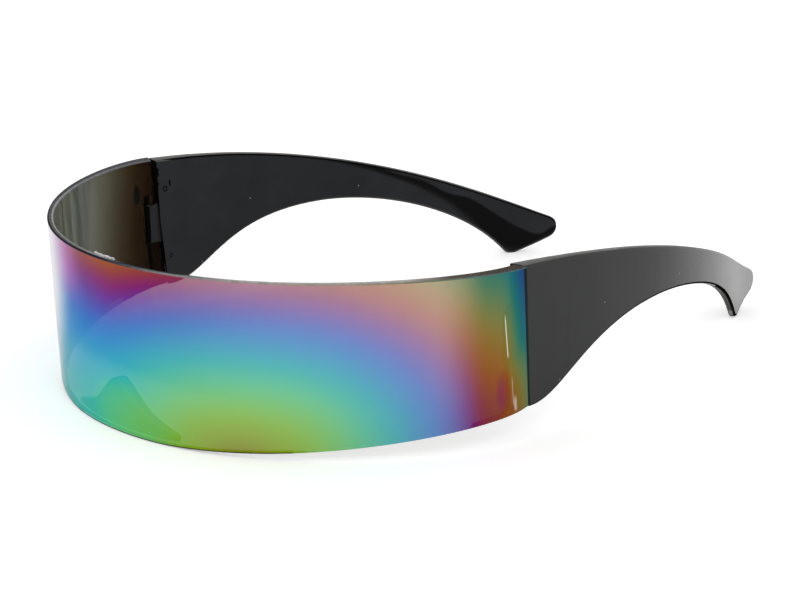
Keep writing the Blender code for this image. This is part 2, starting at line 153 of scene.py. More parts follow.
# Where the coat's see-through changes, from start to end: over the rings, over the run at the right
# and at the left end, over the height above the clear foot, and over the run where that foot starts.
CLEAR_RINGS = (0.022, 0.044)
CLEAR_RIGHT = (-0.020, 0.050)
CLEAR_LEFT = (0.083, 0.0965)
CLEAR_FOOT = (0.013, 0.021)
CLEAR_FOOT_RUN = (-0.050, -0.020)

# The coat is brighter on the right, down to its plain strength at the end of this run.
GAIN_RUN = (-0.010, 0.030)
RIGHT_GAIN = 1.22

# Seen nearly edge on, the coat turns rosy near its top, and then pale all over with painted glare. Facing
# is zero where
# the surface is seen from the front and one where it is seen edge on. It turns pale sooner higher up:
# by the rise for each metre above the middle, and by no more than the most rise.
ROSY_FACING = (0.56, 0.74)
ROSY_HEIGHT = (0.026, 0.036)
ROSY_SHARE = 0.55
ROSY_TINT = (1.0, 0.20, 0.75)
PALE_FACING = (0.68, 0.93)
PALE_MIDDLE = 0.025
PALE_RISE = 5.5
PALE_MOST_RISE = 0.015
PALE_HEIGHT = (0.015, 0.038)
PALE_LOW = (0.88, 1.0, 1.0)
PALE_HIGH = (1.0, 0.86, 0.98)
EDGE_TINT = (0.60, 0.85, 0.90)
WHITE = (1.0, 1.0, 1.0)

# Borders of the dark reflection on a temple's inner face: share of the way back and of the height.
REFLECTION_LENGTH = 0.092
REFLECTION_HEIGHT = 0.042
REFLECTION_TOP = (
    (0.0, 1.0),
    (1.0, 0.160),
    (0.430, 0.720),
    (0.507, 0.633),
    (0.587, 0.565),
    (0.667, 0.455),
    (0.720, 0.414),
    (0.772, 0.333),
    (0.822, 0.243),
    (0.875, 0.164),
    (0.929, 0.117),
    (0.965, 0.150),
)
REFLECTION_FOOT = (
    (0.0, 0.913),
    (1.0, 0.110),
    (0.110, 0.876),
    (0.217, 0.824),
    (0.326, 0.755),
    (0.430, 0.672),
    (0.507, 0.595),
    (0.587, 0.512),
    (0.667, 0.400),
    (0.720, 0.290),
    (0.772, 0.162),
    (0.822, 0.060),
    (0.875, 0.035),
    (0.929, 0.075),
)
REFLECTION_TINT = (0.0012, 0.0012, 0.0012)

# Where the reflection starts, how soft its upper border is, and how its lower border gets softer.
REFLECTION_RISE = (0.0, 0.05)
REFLECTION_BORDER = 0.012
REFLECTION_SOFT_WAY = (0.5, 0.75)
REFLECTION_SOFT_FOOT = (-0.015, -0.070)
REFLECTION_FOOT_BORDER = 0.020

# Satin sheen on the temples' outer side: over facing, at its start, and over the way to the tips.
SHEEN_FACING = (0.25, 0.65)
SHEEN_LEAST = 0.5
SHEEN_BACK = (0.018, 0.112)

# Specks of dust on the black plastic: cells for each metre, size against a cell, share and tint.
DUST_SCALE = 45.0
DUST_SIZE = 0.005
DUST_SHARE = 0.30
DUST_TINT = (0.8, 0.8, 0.78)

# Smoky plastic along the band, as shares of the curves' reach. Painted reflections, like soft hanging
# folds, lie there up to near the hinges.
SMOKE_LEAN = 0.22
SMOKE = (
    (0.00, (0.060, 0.060, 0.050)),
    (0.40, (0.150, 0.150, 0.110)),
    (0.60, (0.200, 0.210, 0.165)),
    (0.725, (0.160, 0.178, 0.148)),
    (0.735, (0.225, 0.228, 0.190)),
    (0.80, (0.160, 0.152, 0.108)),
    (0.86, (0.085, 0.068, 0.036)),
    (0.92, (0.046, 0.025, 0.009)),
    (1.00, (0.018, 0.008, 0.004)),
)
DRAPE_REFLECTION_STRETCH = (1.0, 1.0, 0.08)
DRAPE_REFLECTION_SCALE = 330.0
DRAPE_REFLECTION_TONES = (0.30, 1.65)
DRAPE_REFLECTION_END = (0.076, 0.082)

# The drop-shaped painted dark reflection on the band's inner side: middle, reach, border and tint.
DROP_MIDDLE = (-0.1000, 0.0325)
DROP_REACH = (0.0014, 0.0034)
DROP_BORDER = (0.30, 0.45)
DROP_REFLECTION_TINT = (0.004, 0.005, 0.004)

# Small moulded marks beside the hinge, on the right temple's inner face: place and size.
HINGE_MARKS = (
    ((-0.06752, -0.02595, 0.03793), (0.00016, 0.00055, 0.00220)),
    ((-0.06747, -0.02600, 0.03477), (0.00016, 0.00050, 0.00060)),
    ((-0.06751, -0.02223, 0.03449), (0.00016, 0.00045, 0.00160)),
)
HINGE_RINGS = (
    ((-0.06746, -0.02390, 0.03311), 0.00062, 0.00014),
    ((-0.06699, -0.02327, 0.01481), 0.00050, 0.00010),
)

MARK_BEVEL = 0.00002

# The torn scar that the moulding gate left on the band's top edge: a row of crumbs, whose heights run
# from right to left. A crumb fills a share of its step and goes down into the band by its root.
SCAR_LENGTH = 0.0077
SCAR_DEPTH = 0.00042
SCAR_PLACE_Y = -0.08946
SCAR_HEIGHTS = (0.00034, 0.00018, 0.00028, 0.00016, 0.00024, 0.00032, 0.00020, 0.00030)
SCAR_CRUMB_SHARE = 0.85
SCAR_ROOT = 0.0004
SCAR_BEVEL = 0.00004

NOSE_BEVEL = 0.0002
PIN_BEVEL = 0.00005

# The floor's own tone, and the light that only the camera sees on it.
FLOOR_TONE = (0.9, 0.9, 0.9, 1.0)
FLOOR_GLOW = 0.3


class VisorLensSettings(bpy.types.PropertyGroup):
    """Finish of the mirrored band."""
    # Lists the steps of the visor sunglasses

    rim_bevel: bpy.props.FloatProperty(
        name="Rim bevel",
        description="Width of the worn bevel along the band's edges",
        default=0.00012,
        min=0.0,
        unit="LENGTH",
    )
    see_through_low: bpy.props.FloatProperty(
        name="See-through at the rings' middle",
        description="Share of the light that passes the coat at the middle of the colour rings",
        default=0.16,
        min=0.0,
        max=1.0,
        subtype="FACTOR",
    )
    see_through_high: bpy.props.FloatProperty(
        name="See-through outside",
        description="Share of the light that passes the coat in the outer colour rings",
        default=0.38,
        min=0.0,
        max=1.0,
        subtype="FACTOR",
    )
    see_through_left: bpy.props.FloatProperty(
        name="See-through at the left end",
        description="Part of the see-through that is left at the wearer's left end of the band",
        default=0.06,
        min=0.0,
        max=1.0,
        subtype="FACTOR",
    )
    see_through_right: bpy.props.FloatProperty(
        name="See-through at the right end",
        description="Part of the see-through that is left at the wearer's right end of the band",
        default=0.12,
        min=0.0,
        max=1.0,
        subtype="FACTOR",
    )
    edge_glare: bpy.props.FloatProperty(
        name="Edge glare",
        description="How far the coat turns white where it is seen edge on",
        default=1.0,
        min=0.0,
        max=1.0,
        subtype="FACTOR",
    )


class VisorTempleSettings(bpy.types.PropertyGroup):
    """Finish of the two temples."""

    outer_plastic: bpy.props.FloatVectorProperty(
        name="Outer plastic",
        description="Colour of the temples' outer side",
        default=(0.0050, 0.0052, 0.0060),
        min=0.0,
        max=1.0,
        subtype="COLOR",
    )
    # The inner side's colour is the black plastic with a painted even reflection of the bright surroundings
    # in it.
    inner_plastic_and_reflection: bpy.props.FloatVectorProperty(
        name="Inner plastic",
        description="Colour of the temples' inner side",
        default=(0.0215, 0.0222, 0.0240),
        min=0.0,
        max=1.0,
        subtype="COLOR",
    )
    tip_sheen: bpy.props.FloatProperty(
        name="Tip sheen",
        description="Satin sheen on the outer side of the tips",
        default=0.36,
        min=0.0,
        max=1.0,
        subtype="FACTOR",
    )
    edge_bevel: bpy.props.FloatProperty(
        name="Edge bevel",
        description="Width of the bevel on the temples' sharp edges",
        default=0.00010,
        min=0.0,
        unit="LENGTH",
    )


class VisorStageSettings(bpy.types.PropertyGroup):
    """Floor and camera."""

    camera_azimuth: bpy.props.FloatProperty(
        name="Camera azimuth",
        description="Direction of the camera round the part, from its front",
        default=math.radians(49.39),
        unit="ROTATION",
    )
    camera_elevation: bpy.props.FloatProperty(
        name="Camera elevation",
        description="Height of the camera above the horizon",
        default=math.radians(17.15),
        unit="ROTATION",
    )
    camera_roll: bpy.props.FloatProperty(
        name="Camera roll",
        description="Turn of the camera about its line of sight",
        default=math.radians(-1.26),
        unit="ROTATION",
    )
    camera_distance: bpy.props.FloatProperty(
        name="Camera distance",
        description="Distance of the camera from the part's front",
        default=0.5885,
        unit="LENGTH",
    )
    camera_shift_right: bpy.props.FloatProperty(
        name="Camera shift right",
        description="Sideways move of the camera in its own plane",
        default=0.0666,
        unit="LENGTH",
    )
    camera_shift_up: bpy.props.FloatProperty(
        name="Camera shift up",
        description="Upward move of the camera in its own plane",
        default=0.0303,
        unit="LENGTH",
    )
    camera_lens: bpy.props.FloatProperty(
        name="Camera lens",
        description="Focal length in millimetres on a 36 mm wide sensor",
        default=115.2,
    )
    floor_size: bpy.props.FloatProperty(
        name="Floor size",
        description="Side of the square floor",
        default=8.0,
        unit="LENGTH",
    )


def deselect_all():
    bpy.ops.object.select_all(action="DESELECT")


def make_active(piece):
    deselect_all()
    piece.select_set(True)
    bpy.context.view_layer.objects.active = piece


def apply_modifier(piece, kind, **values):
    """Adds one modifier to a piece and applies it."""
    make_active(piece)
    modifier = piece.modifiers.new(kind.lower(), kind)
    for key, value in values.items():
        setattr(modifier, key, value)
    bpy.ops.object.modifier_apply(modifier=modifier.name)


def shell_of(node, name):
    """A mesh of its own with a frame node's shape, its loose triangles merged into faces."""
    make_active(frame["nodes"][node])
    bpy.ops.object.duplicate()
    piece = bpy.context.active_object
    piece.name = name
    piece.data.name = name
    piece.parent = None
    del piece["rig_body"]
    del piece["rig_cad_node"]
    piece.data.materials.clear()
    bpy.ops.mesh.customdata_custom_splitnormals_clear()
    bpy.ops.object.mode_set(mode="EDIT")
    bpy.ops.mesh.select_all(action="SELECT")
    bpy.ops.mesh.remove_doubles(threshold=MERGE_DISTANCE)
    bpy.ops.mesh.dissolve_limited(angle_limit=FLAT_ANGLE)
    bpy.ops.object.mode_set(mode="OBJECT")
    return piece


def soften(piece, width):
    """Bevels the sharp edges and shades the rest smooth."""
    apply_modifier(piece, "BEVEL", width=width, segments=2, limit_method="ANGLE", angle_limit=SMOOTH_ANGLE)
    make_active(piece)
    bpy.ops.object.shade_smooth_by_angle(angle=SMOOTH_ANGLE)
    apply_modifier(piece, "WEIGHTED_NORMAL", keep_sharp=True)


def joined(parts, name):
    """One object made of several, its origin at the world's."""
    make_active(parts[0])
    for part in parts:
        part.select_set(True)
    bpy.ops.object.join()
    piece = bpy.context.active_object
    piece.name = name
    piece.data.name = name
    bpy.ops.object.transform_apply(location=True, rotation=True, scale=True)
    return piece


def add_block(place, size):
    """A box of a given size at a given place."""
    deselect_all()
    bpy.ops.mesh.primitive_cube_add(size=1.0, location=place)
    block = bpy.context.active_object
    block.scale = size
    bpy.ops.object.transform_apply(location=True, rotation=True, scale=True)
    return block


def add_side_ring(place, radius, thickness):
    """A small ring that lies against a temple's side."""
    deselect_all()
    bpy.ops.mesh.primitive_torus_add(
        location=place,
        rotation=(0.0, math.pi / 2.0, 0.0),
        major_radius=radius,
        minor_radius=thickness,
        major_segments=32,
        minor_segments=8,
    )
    return bpy.context.active_object


def new_material(name):
    made = bpy.data.materials.new(name)
    made.use_nodes = True
    made.node_tree.nodes.clear()
    return made, made.node_tree.nodes, made.node_tree.links


def fill(links, node, place, value):
    """Links a socket to a node's input, or sets a plain number or colour there."""
    if isinstance(value, bpy.types.NodeSocket):
        links.new(value, node.inputs[place])
    else:
        node.inputs[place].default_value = value


def math_node(nodes, links, operation, first, second=None):
    """One math node whose inputs are sockets or plain numbers."""
    node = nodes.new("ShaderNodeMath")
    node.operation = operation
    fill(links, node, 0, first)
    if second is not None:
        fill(links, node, 1, second)
    return node.outputs[0]


def ramp_node(nodes, links, factor, stops):
    """A colour ramp from stops of place and colour."""
    node = nodes.new("ShaderNodeValToRGB")
    ramp = node.color_ramp
    while len(ramp.elements) < len(stops):
        ramp.elements.new(1.0)
    for element, (place, color) in zip(ramp.elements, stops):
        element.position = place
        element.color = (*color, 1.0)
    links.new(factor, node.inputs[0])
    return node.outputs["Color"]


def curve_node(nodes, links, factor, spots):
    """A curve through spots between zero and one, as a socket. Its two ends come first."""
    bend = nodes.new("ShaderNodeFloatCurve")
    curve = bend.mapping.curves[0]
    for number, spot in enumerate(spots):
        if number < 2:
            curve.points[number].location = spot
        else:
            curve.points.new(*spot)
    bend.mapping.update()
    links.new(factor, bend.inputs["Value"])
    return bend.outputs["Value"]


def mixed(nodes, links, factor, first, second):
    """Two colours mixed by a factor, as a socket."""
    node = nodes.new("ShaderNodeMix")
    node.data_type = "RGBA"
    for place, value in ((0, factor), (6, first), (7, second)):
        fill(links, node, place, (*value, 1.0) if isinstance(value, tuple) else value)
    return node.outputs[2]


def step_between(nodes, links, value, low, high, start, end):
    """Smooth change from start to end while a socket's value goes from low to high, as a socket."""
    node = nodes.new("ShaderNodeMapRange")
    node.interpolation_type = "SMOOTHSTEP"
    for name, number in (
        ("Value", value),
        ("From Min", low),
        ("From Max", high),
        ("To Min", start),
        ("To Max", end),
    ):
        fill(links, node, name, number)
    return node.outputs["Result"]


def scaled(nodes, links, color, factor):
    """A colour, plain or a socket, times a socket's factor, as a socket."""
    node = nodes.new("ShaderNodeVectorMath")
    node.operation = "SCALE"
    fill(links, node, 0, color)
    links.new(factor, node.inputs["Scale"])
    return node.outputs[0]


def edge_on(nodes):
    """How nearly edge on the surface is seen, from zero to one, as a socket."""
    weight = nodes.new("ShaderNodeLayerWeight")
    weight.inputs["Blend"].default_value = 0.5
    return weight.outputs["Facing"]


def object_place(nodes, links):
    """The point on the surface in metres, as one socket and as a node with its three parts."""
    place = nodes.new("ShaderNodeTexCoord")
    split = nodes.new("ShaderNodeSeparateXYZ")
    links.new(place.outputs["Object"], split.inputs[0])
    return place.outputs["Object"], split


def stretched(nodes, links, vector, factors):
    """A place drawn out by a factor along each axis, as a socket."""
    node = nodes.new("ShaderNodeVectorMath")
    node.operation = "MULTIPLY"
    links.new(vector, node.inputs[0])
    node.inputs[1].default_value = factors
    return node.outputs[0]


def grain(nodes, links, vector, scale, low, high):
    """Cloudy change between two values, as a socket."""
    noise = nodes.new("ShaderNodeTexNoise")
    noise.inputs["Scale"].default_value = scale
    noise.inputs["Detail"].default_value = 3.0
    links.new(vector, noise.inputs["Vector"])
    return step_between(nodes, links, noise.outputs["Fac"], 0.25, 0.75, low, high)


def relief(nodes, links, vector, scale, depth):
    """Fine unevenness of a surface, as a normal socket."""
    noise = nodes.new("ShaderNodeTexNoise")
    noise.inputs["Scale"].default_value = scale
    noise.inputs["Detail"].default_value = 3.0
    links.new(vector, noise.inputs["Vector"])
    bump = nodes.new("ShaderNodeBump")
    bump.inputs["Strength"].default_value = 0.5
    bump.inputs["Distance"].default_value = depth
    links.new(noise.outputs["Fac"], bump.inputs["Height"])
    return bump.outputs["Normal"]


def dust(nodes, links, vector, scale, size):
    """Sparse small specks on an upright side, as a socket that is one on a speck."""
    split = nodes.new("ShaderNodeSeparateXYZ")
    links.new(vector, split.inputs[0])
    flat = nodes.new("ShaderNodeCombineXYZ")
    links.new(split.outputs["Y"], flat.inputs["X"])
    links.new(split.outputs["Z"], flat.inputs["Y"])
    cells = nodes.new("ShaderNodeTexVoronoi")
    cells.voronoi_dimensions = "2D"
    cells.inputs["Scale"].default_value = scale
    links.new(flat.outputs[0], cells.inputs["Vector"])
    return step_between(nodes, links, cells.outputs["Distance"], size, 2.0 * size, 1.0, 0.0)


def spot_mask(nodes, links, first, second, middle, reach):
    """Soft round spot over two sockets, one in its middle and zero outside its reach."""
    total = 0.0
    for value, centre, radius in ((first, middle[0], reach[0]), (second, middle[1], reach[1])):
        away = math_node(nodes, links, "SUBTRACT", value, centre)
        away = math_node(nodes, links, "DIVIDE", away, radius)
        away = math_node(nodes, links, "MULTIPLY", away, away)
        total = math_node(nodes, links, "ADD", away, total)
    return step_between(nodes, links, total, 0.0, 1.0, 1.0, 0.0)


def streak_mask(nodes, links, run, height, foot, lean, width, low, high):
    """Thin upright streak on the band, one in its middle line and zero outside it."""
    middle = math_node(nodes, links, "MULTIPLY", height, lean)
    middle = math_node(nodes, links, "ADD", middle, foot)
    away = math_node(nodes, links, "ABSOLUTE", math_node(nodes, links, "SUBTRACT", run, middle))
    line = step_between(nodes, links, away, 0.3 * width, width, 1.0, 0.0)
    above = step_between(nodes, links, height, low, low + 0.001, 0.0, 1.0)
    below = step_between(nodes, links, height, high - 0.002, high, 1.0, 0.0)
    return math_node(nodes, links, "MULTIPLY", line, math_node(nodes, links, "MULTIPLY", above, below))


def principled(nodes, links, values):
    """A shader whose inputs are sockets or plain values."""
    shader = nodes.new("ShaderNodeBsdfPrincipled")
    for name, value in values.items():
        fill(links, shader, name, value)
    return shader.outputs[0]


def finish_with(nodes, links, surface):
    output = nodes.new("ShaderNodeOutputMaterial")
    links.new(surface, output.inputs["Surface"])


def band_run(nodes, links, split):
    """Signed length along the band from its middle, as a socket."""
    away = math_node(nodes, links, "SUBTRACT", BAND_CENTRE_Y, split.outputs["Y"])
    bearing = math_node(nodes, links, "ARCTAN2", split.outputs["X"], away)
    return math_node(nodes, links, "MULTIPLY", bearing, BAND_RADIUS)


def run_share(nodes, links, run):
    """A run as a share of the curves' width, one half in the band's middle, as a socket."""
    share = math_node(nodes, links, "DIVIDE", run, 2.0 * CURVE_REACH)
    return math_node(nodes, links, "ADD", share, 0.5)


def ring_distance(nodes, links, height, run):
    """Distance from the middle of the colour rings, as a socket. The rings are drawn out sideways."""
    width = 2.0 * CURVE_REACH
    share = run_share(nodes, links, run)
    spots = [(0.5 + place / width, 0.5 + value / width) for place, value in RING_SPREAD]
    across = math_node(nodes, links, "SUBTRACT", curve_node(nodes, links, share, spots), 0.5)
    across = math_node(nodes, links, "MULTIPLY", across, width)
    across = math_node(nodes, links, "MULTIPLY", across, across)
    upward = math_node(nodes, links, "MULTIPLY", height, height)
    ring = math_node(nodes, links, "SQRT", math_node(nodes, links, "ADD", across, upward))
    for middle, reach, depth in PULLED_RING_SPOTS:
        spot = spot_mask(nodes, links, run, height, middle, reach)
        ring = math_node(nodes, links, "SUBTRACT", ring, math_node(nodes, links, "MULTIPLY", spot, depth))
    return ring


def band_light(place, start, peak, end, strength):
    """Light of one band at a place: it swells to its peak and fades as a wave does."""
    reach = peak - start if place < peak else end - peak
    turn = min(abs(place - peak) / reach, 1.0) * math.pi / 2.0
    return strength * math.cos(turn) ** 2


def ring_stops():
    """Stops of the coat's colour from the rings' middle outwards, as a thin film would give them."""
    stops = []
    for step in range(RING_STEPS + 1):
        place = step / RING_STEPS
        color = [LEAST_LIGHT + sum(band_light(place, *band) for band in bands) for bands in LIGHT_BANDS]
        stops.append((place, color))
    return stops


def smoke_color(nodes, links, vector, height, run):
    """Smoky grey-green of the band's inner side, browner towards the hinges, with painted reflections like
    soft hanging folds.
    """
    away = math_node(nodes, links, "ABSOLUTE", run)
    drop = math_node(nodes, links, "SUBTRACT", BAND_TOP, height)
    away = math_node(nodes, links, "ADD", away, math_node(nodes, links, "MULTIPLY", drop, SMOKE_LEAN))
    color = ramp_node(nodes, links, math_node(nodes, links, "DIVIDE", away, CURVE_REACH), SMOKE)
    # Painted reflections: upright streaks that darken and lighten the smoke, calm near the hinges.
    hanging = stretched(nodes, links, vector, DRAPE_REFLECTION_STRETCH)
    drape_reflections = grain(nodes, links, hanging, DRAPE_REFLECTION_SCALE, *DRAPE_REFLECTION_TONES)
    calm = step_between(nodes, links, away, *DRAPE_REFLECTION_END, 0.0, 1.0)
    node = nodes.new("ShaderNodeMix")
    fill(links, node, 0, calm)
    fill(links, node, 2, drape_reflections)
    fill(links, node, 3, 1.0)
    return scaled(nodes, links, color, node.outputs[0])


def share_passed(nodes, links, settings, ring, height, run):
    """Share of the light that passes the coat, as a socket."""
    low = settings.see_through_low
    high = settings.see_through_high
    passed = step_between(nodes, links, ring, *CLEAR_RINGS, low, high)
    right = step_between(nodes, links, run, *CLEAR_RIGHT, settings.see_through_right, 1.0)
    left = step_between(nodes, links, run, *CLEAR_LEFT, 1.0, settings.see_through_left)
    foot = step_between(nodes, links, height, *CLEAR_FOOT, 1.0, 0.0)
    open_foot = step_between(nodes, links, run, *CLEAR_FOOT_RUN, 0.0, 1.0)
    foot = math_node(nodes, links, "MULTIPLY", foot, open_foot)
    middle = math_node(nodes, links, "MAXIMUM", right, foot)
    middle = math_node(nodes, links, "MULTIPLY", middle, left)
    return math_node(nodes, links, "MULTIPLY", passed, middle)


def seen_edge_on(nodes, links, settings, color, height):
    """The coat's colour and its tint for light that grazes it, both paler at the edge, as sockets."""
    facing = edge_on(nodes)
    rosy = math_node(
        nodes, links, "MULTIPLY",
        step_between(nodes, links, facing, *ROSY_FACING, 0.0, ROSY_SHARE),
        step_between(nodes, links, height, *ROSY_HEIGHT, 0.0, 1.0),
    )
    color = mixed(nodes, links, rosy, color, ROSY_TINT)
    # Painted glare: the colour is mixed towards pale where the coat is seen edge on.
    higher = math_node(nodes, links, "SUBTRACT", height, PALE_MIDDLE)
    higher = math_node(nodes, links, "MULTIPLY", higher, PALE_RISE)
    higher = math_node(nodes, links, "MINIMUM", higher, PALE_MOST_RISE)
    grazing = math_node(nodes, links, "ADD", facing, higher)
    edge_glare_share = step_between(nodes, links, grazing, *PALE_FACING, 0.0, settings.edge_glare)
    high = step_between(nodes, links, height, *PALE_HEIGHT, 0.0, 1.0)
    pale = mixed(nodes, links, high, PALE_LOW, PALE_HIGH)
    color = mixed(nodes, links, edge_glare_share, color, pale)
    return color, mixed(nodes, links, edge_glare_share, EDGE_TINT, WHITE)


def with_glints_and_seam_shade(nodes, links, color, height, run):
    """The coat's colour with its thin glints and the painted shade of the gap before the temples, as a
    socket.
    """
    for place, lean, width, low, high, strength in GLINTS:
        streak = streak_mask(nodes, links, run, height, place, lean, width, low, high)
        streak = math_node(nodes, links, "MULTIPLY", streak, strength)
        color = mixed(nodes, links, streak, color, GLINT_TINT)
    # Painted shade: the gap before the temples is painted near black.
    last_run = math_node(nodes, links, "MULTIPLY", height, SEAM_LEAN)
    beyond = math_node(nodes, links, "SUBTRACT", math_node(nodes, links, "ABSOLUTE", run), last_run)
    seam = step_between(nodes, links, beyond, SEAM_RUN, SEAM_RUN + SEAM_BORDER, 0.0, 1.0)
    return mixed(nodes, links, seam, color, SEAM_SHADE_TINT)


def lens_material(settings):
    """Rainbow mirror coat: rings of colour round a low point of the band, smoky from behind."""
    made, nodes, links = new_material("rainbow_mirror_coat")
    vector, split = object_place(nodes, links)
    height = split.outputs["Z"]
    run = band_run(nodes, links, split)
    ring = ring_distance(nodes, links, height, run)
    tint = ramp_node(nodes, links, math_node(nodes, links, "DIVIDE", ring, RING_REACH), ring_stops())
    kept = math_node(
        nodes, links, "SUBTRACT", 1.0, share_passed(nodes, links, settings, ring, height, run)
    )
    brighter = step_between(nodes, links, run, *GAIN_RUN, RIGHT_GAIN, 1.0)
    tint = scaled(nodes, links, tint, math_node(nodes, links, "DIVIDE", brighter, kept))
    color, edge_tint = seen_edge_on(nodes, links, settings, tint, height)
    coat = principled(nodes, links, {
        "Base Color": with_glints_and_seam_shade(nodes, links, color, height, run),
        "Alpha": kept,
        "Metallic": 1.0,
        "Roughness": grain(nodes, links, vector, scale=60.0, low=0.06, high=0.10),
        "Specular Tint": edge_tint,
        "Coat Weight": 0.35,
        "Coat IOR": 1.25,
        "Coat Roughness": 0.03,
        "Normal": relief(nodes, links, vector, scale=90.0, depth=0.00001),
    })
    behind = principled(nodes, links, {
        "Base Color": smoke_color(nodes, links, vector, height, run),
        "Roughness": 0.3,
        "Specular IOR Level": 0.1,
    })
    side = nodes.new("ShaderNodeNewGeometry")
    both = nodes.new("ShaderNodeMixShader")
    links.new(side.outputs["Backfacing"], both.inputs[0])
    links.new(coat, both.inputs[1])
    links.new(behind, both.inputs[2])
    finish_with(nodes, links, both.outputs[0])
    return made


def inner_material():
    """Smoky inner side of the band, with a painted dark reflection shaped like a drop."""
    made, nodes, links = new_material("smoky_inner_face")
    vector, split = object_place(nodes, links)
    height = split.outputs["Z"]
    run = band_run(nodes, links, split)
    smoke = smoke_color(nodes, links, vector, height, run)
    # Painted reflection: a dark drop on the inner side.
    drop_reflection = spot_mask(nodes, links, run, height, DROP_MIDDLE, DROP_REACH)
    drop_reflection = step_between(nodes, links, drop_reflection, *DROP_BORDER, 0.0, 1.0)
    surface = principled(nodes, links, {
        "Base Color": mixed(nodes, links, drop_reflection, smoke, DROP_REFLECTION_TINT),
        "Roughness": grain(nodes, links, vector, scale=80.0, low=0.08, high=0.14),
        "Specular IOR Level": 0.05,
        "Alpha": step_between(nodes, links, drop_reflection, low=0.0, high=1.0, start=0.5, end=1.0),
        "Normal": relief(nodes, links, vector, scale=90.0, depth=0.00001),
    })
    finish_with(nodes, links, surface)
    return made


def rim_material(name, stops):
    """Cut edge of the band, its smoky plastic lit differently along the run."""
    made, nodes, links = new_material(name)
    vector, split = object_place(nodes, links)
    share = run_share(nodes, links, band_run(nodes, links, split))
    color = ramp_node(nodes, links, share, stops)
    streaks = grain(nodes, links, vector, scale=900.0, low=0.82, high=1.15)
    surface = principled(nodes, links, {
        "Base Color": scaled(nodes, links, color, streaks),
        "Roughness": grain(nodes, links, vector, scale=300.0, low=0.18, high=0.3),
        "Specular IOR Level": 0.0,
        "Normal": relief(nodes, links, vector, scale=700.0, depth=0.00002),
    })
    finish_with(nodes, links, surface)
    return made


# Painted light and shade along the cut rim's faces over the smoky plastic, each lean of face with its own
# tones, from the band's right end to its left end.
RIM_FLAT = (
    (0.00, (0.085, 0.085, 0.090)),
    (0.20, (0.075, 0.075, 0.080)),
    (0.36, (0.110, 0.110, 0.112)),
    (0.45, (0.160, 0.155, 0.155)),
    (0.50, (0.250, 0.255, 0.255)),
    (0.53, (0.025, 0.026, 0.030)),
    (0.61, (0.018, 0.019, 0.022)),
    (0.68, (0.420, 0.400, 0.390)),
    (0.85, (0.400, 0.380, 0.360)),
    (0.90, (0.090, 0.078, 0.066)),
    (1.00, (0.060, 0.050, 0.042)),
)
RIM_SHOULDER = (
    (0.00, (0.030, 0.030, 0.033)),
    (0.40, (0.030, 0.030, 0.035)),
    (0.50, (0.014, 0.016, 0.022)),
    (0.55, (0.080, 0.088, 0.095)),
    (0.61, (0.150, 0.158, 0.165)),
    (0.68, (0.340, 0.325, 0.315)),
    (0.85, (0.320, 0.300, 0.285)),
    (0.90, (0.090, 0.078, 0.066)),
    (1.00, (0.055, 0.045, 0.038)),
)
RIM_OUTER = (
    (0.00, (0.060, 0.060, 0.065)),
    (0.40, (0.030, 0.033, 0.042)),
    (0.50, (0.014, 0.018, 0.034)),
    (0.545, (0.070, 0.078, 0.085)),
    (0.58, (0.190, 0.205, 0.215)),
    (0.68, (0.330, 0.285, 0.275)),
    (0.80, (0.330, 0.290, 0.220)),
    (0.88, (0.150, 0.190, 0.120)),
    (1.00, (0.040, 0.120, 0.170)),
)
RIM_INNER = (
    (0.00, (0.120, 0.120, 0.130)),
    (0.20, (0.230, 0.230, 0.245)),
    (0.40, (0.380, 0.380, 0.390)),
    (0.75, (0.420, 0.420, 0.420)),
    (1.00, (0.180, 0.180, 0.185)),
)
RIM_FOOT = (
    (0.00, (0.014, 0.014, 0.016)),
    (0.78, (0.018, 0.017, 0.018)),
    (0.86, (0.020, 0.060, 0.130)),
    (1.00, (0.060, 0.060, 0.180)),
)
# Painted shade: near black for the band's ends beside the temples, the temples' dark edge lines and the
# hinge marks.
SHADE_BLACK = (
    (0.00, (0.0035, 0.0035, 0.0040)),
    (1.00, (0.0040, 0.0040, 0.0035)),
)


# How the band's faces are told apart: the least run, height and lean of their normals.
JOINT_RUN = 0.100
JOINT_ALONG = 0.45
FOOT_HEIGHT = 0.002
FOOT_DOWN = -0.35
RIM_HEIGHT = BAND_TOP - 0.001
RIM_UP = 0.30
SHOULDER_UP = 0.7
FLAT_UP = 0.98
COAT_OUT = 0.5
END_OUT = -0.8


def dress(piece, finishes, chosen):
    """Gives a piece its finishes, kept by name, and each face the one whose name is chosen for it."""
    names = list(finishes)
    for finish in finishes.values():
        piece.data.materials.append(finish)
    for face in piece.data.polygons:
        face.material_index = names.index(chosen(face))


def band_finishes(settings):
    """The finishes of the outer face, the inner face, the cut rim and the ends of the band."""
    return {
        "coat": lens_material(settings),
        "inner": inner_material(),
        "flat": rim_material("smoky_rim_flat_painted_light", RIM_FLAT),
        "shoulder": rim_material("smoky_rim_shoulder_painted_light", RIM_SHOULDER),
        "outer line": rim_material("smoky_rim_outer_line_painted_light", RIM_OUTER),
        "inner line": rim_material("smoky_rim_inner_line_painted_light", RIM_INNER),
        "foot": rim_material("smoky_rim_foot_painted_light", RIM_FOOT),
        "joint": rim_material("shaded_joint_face", SHADE_BLACK),
    }


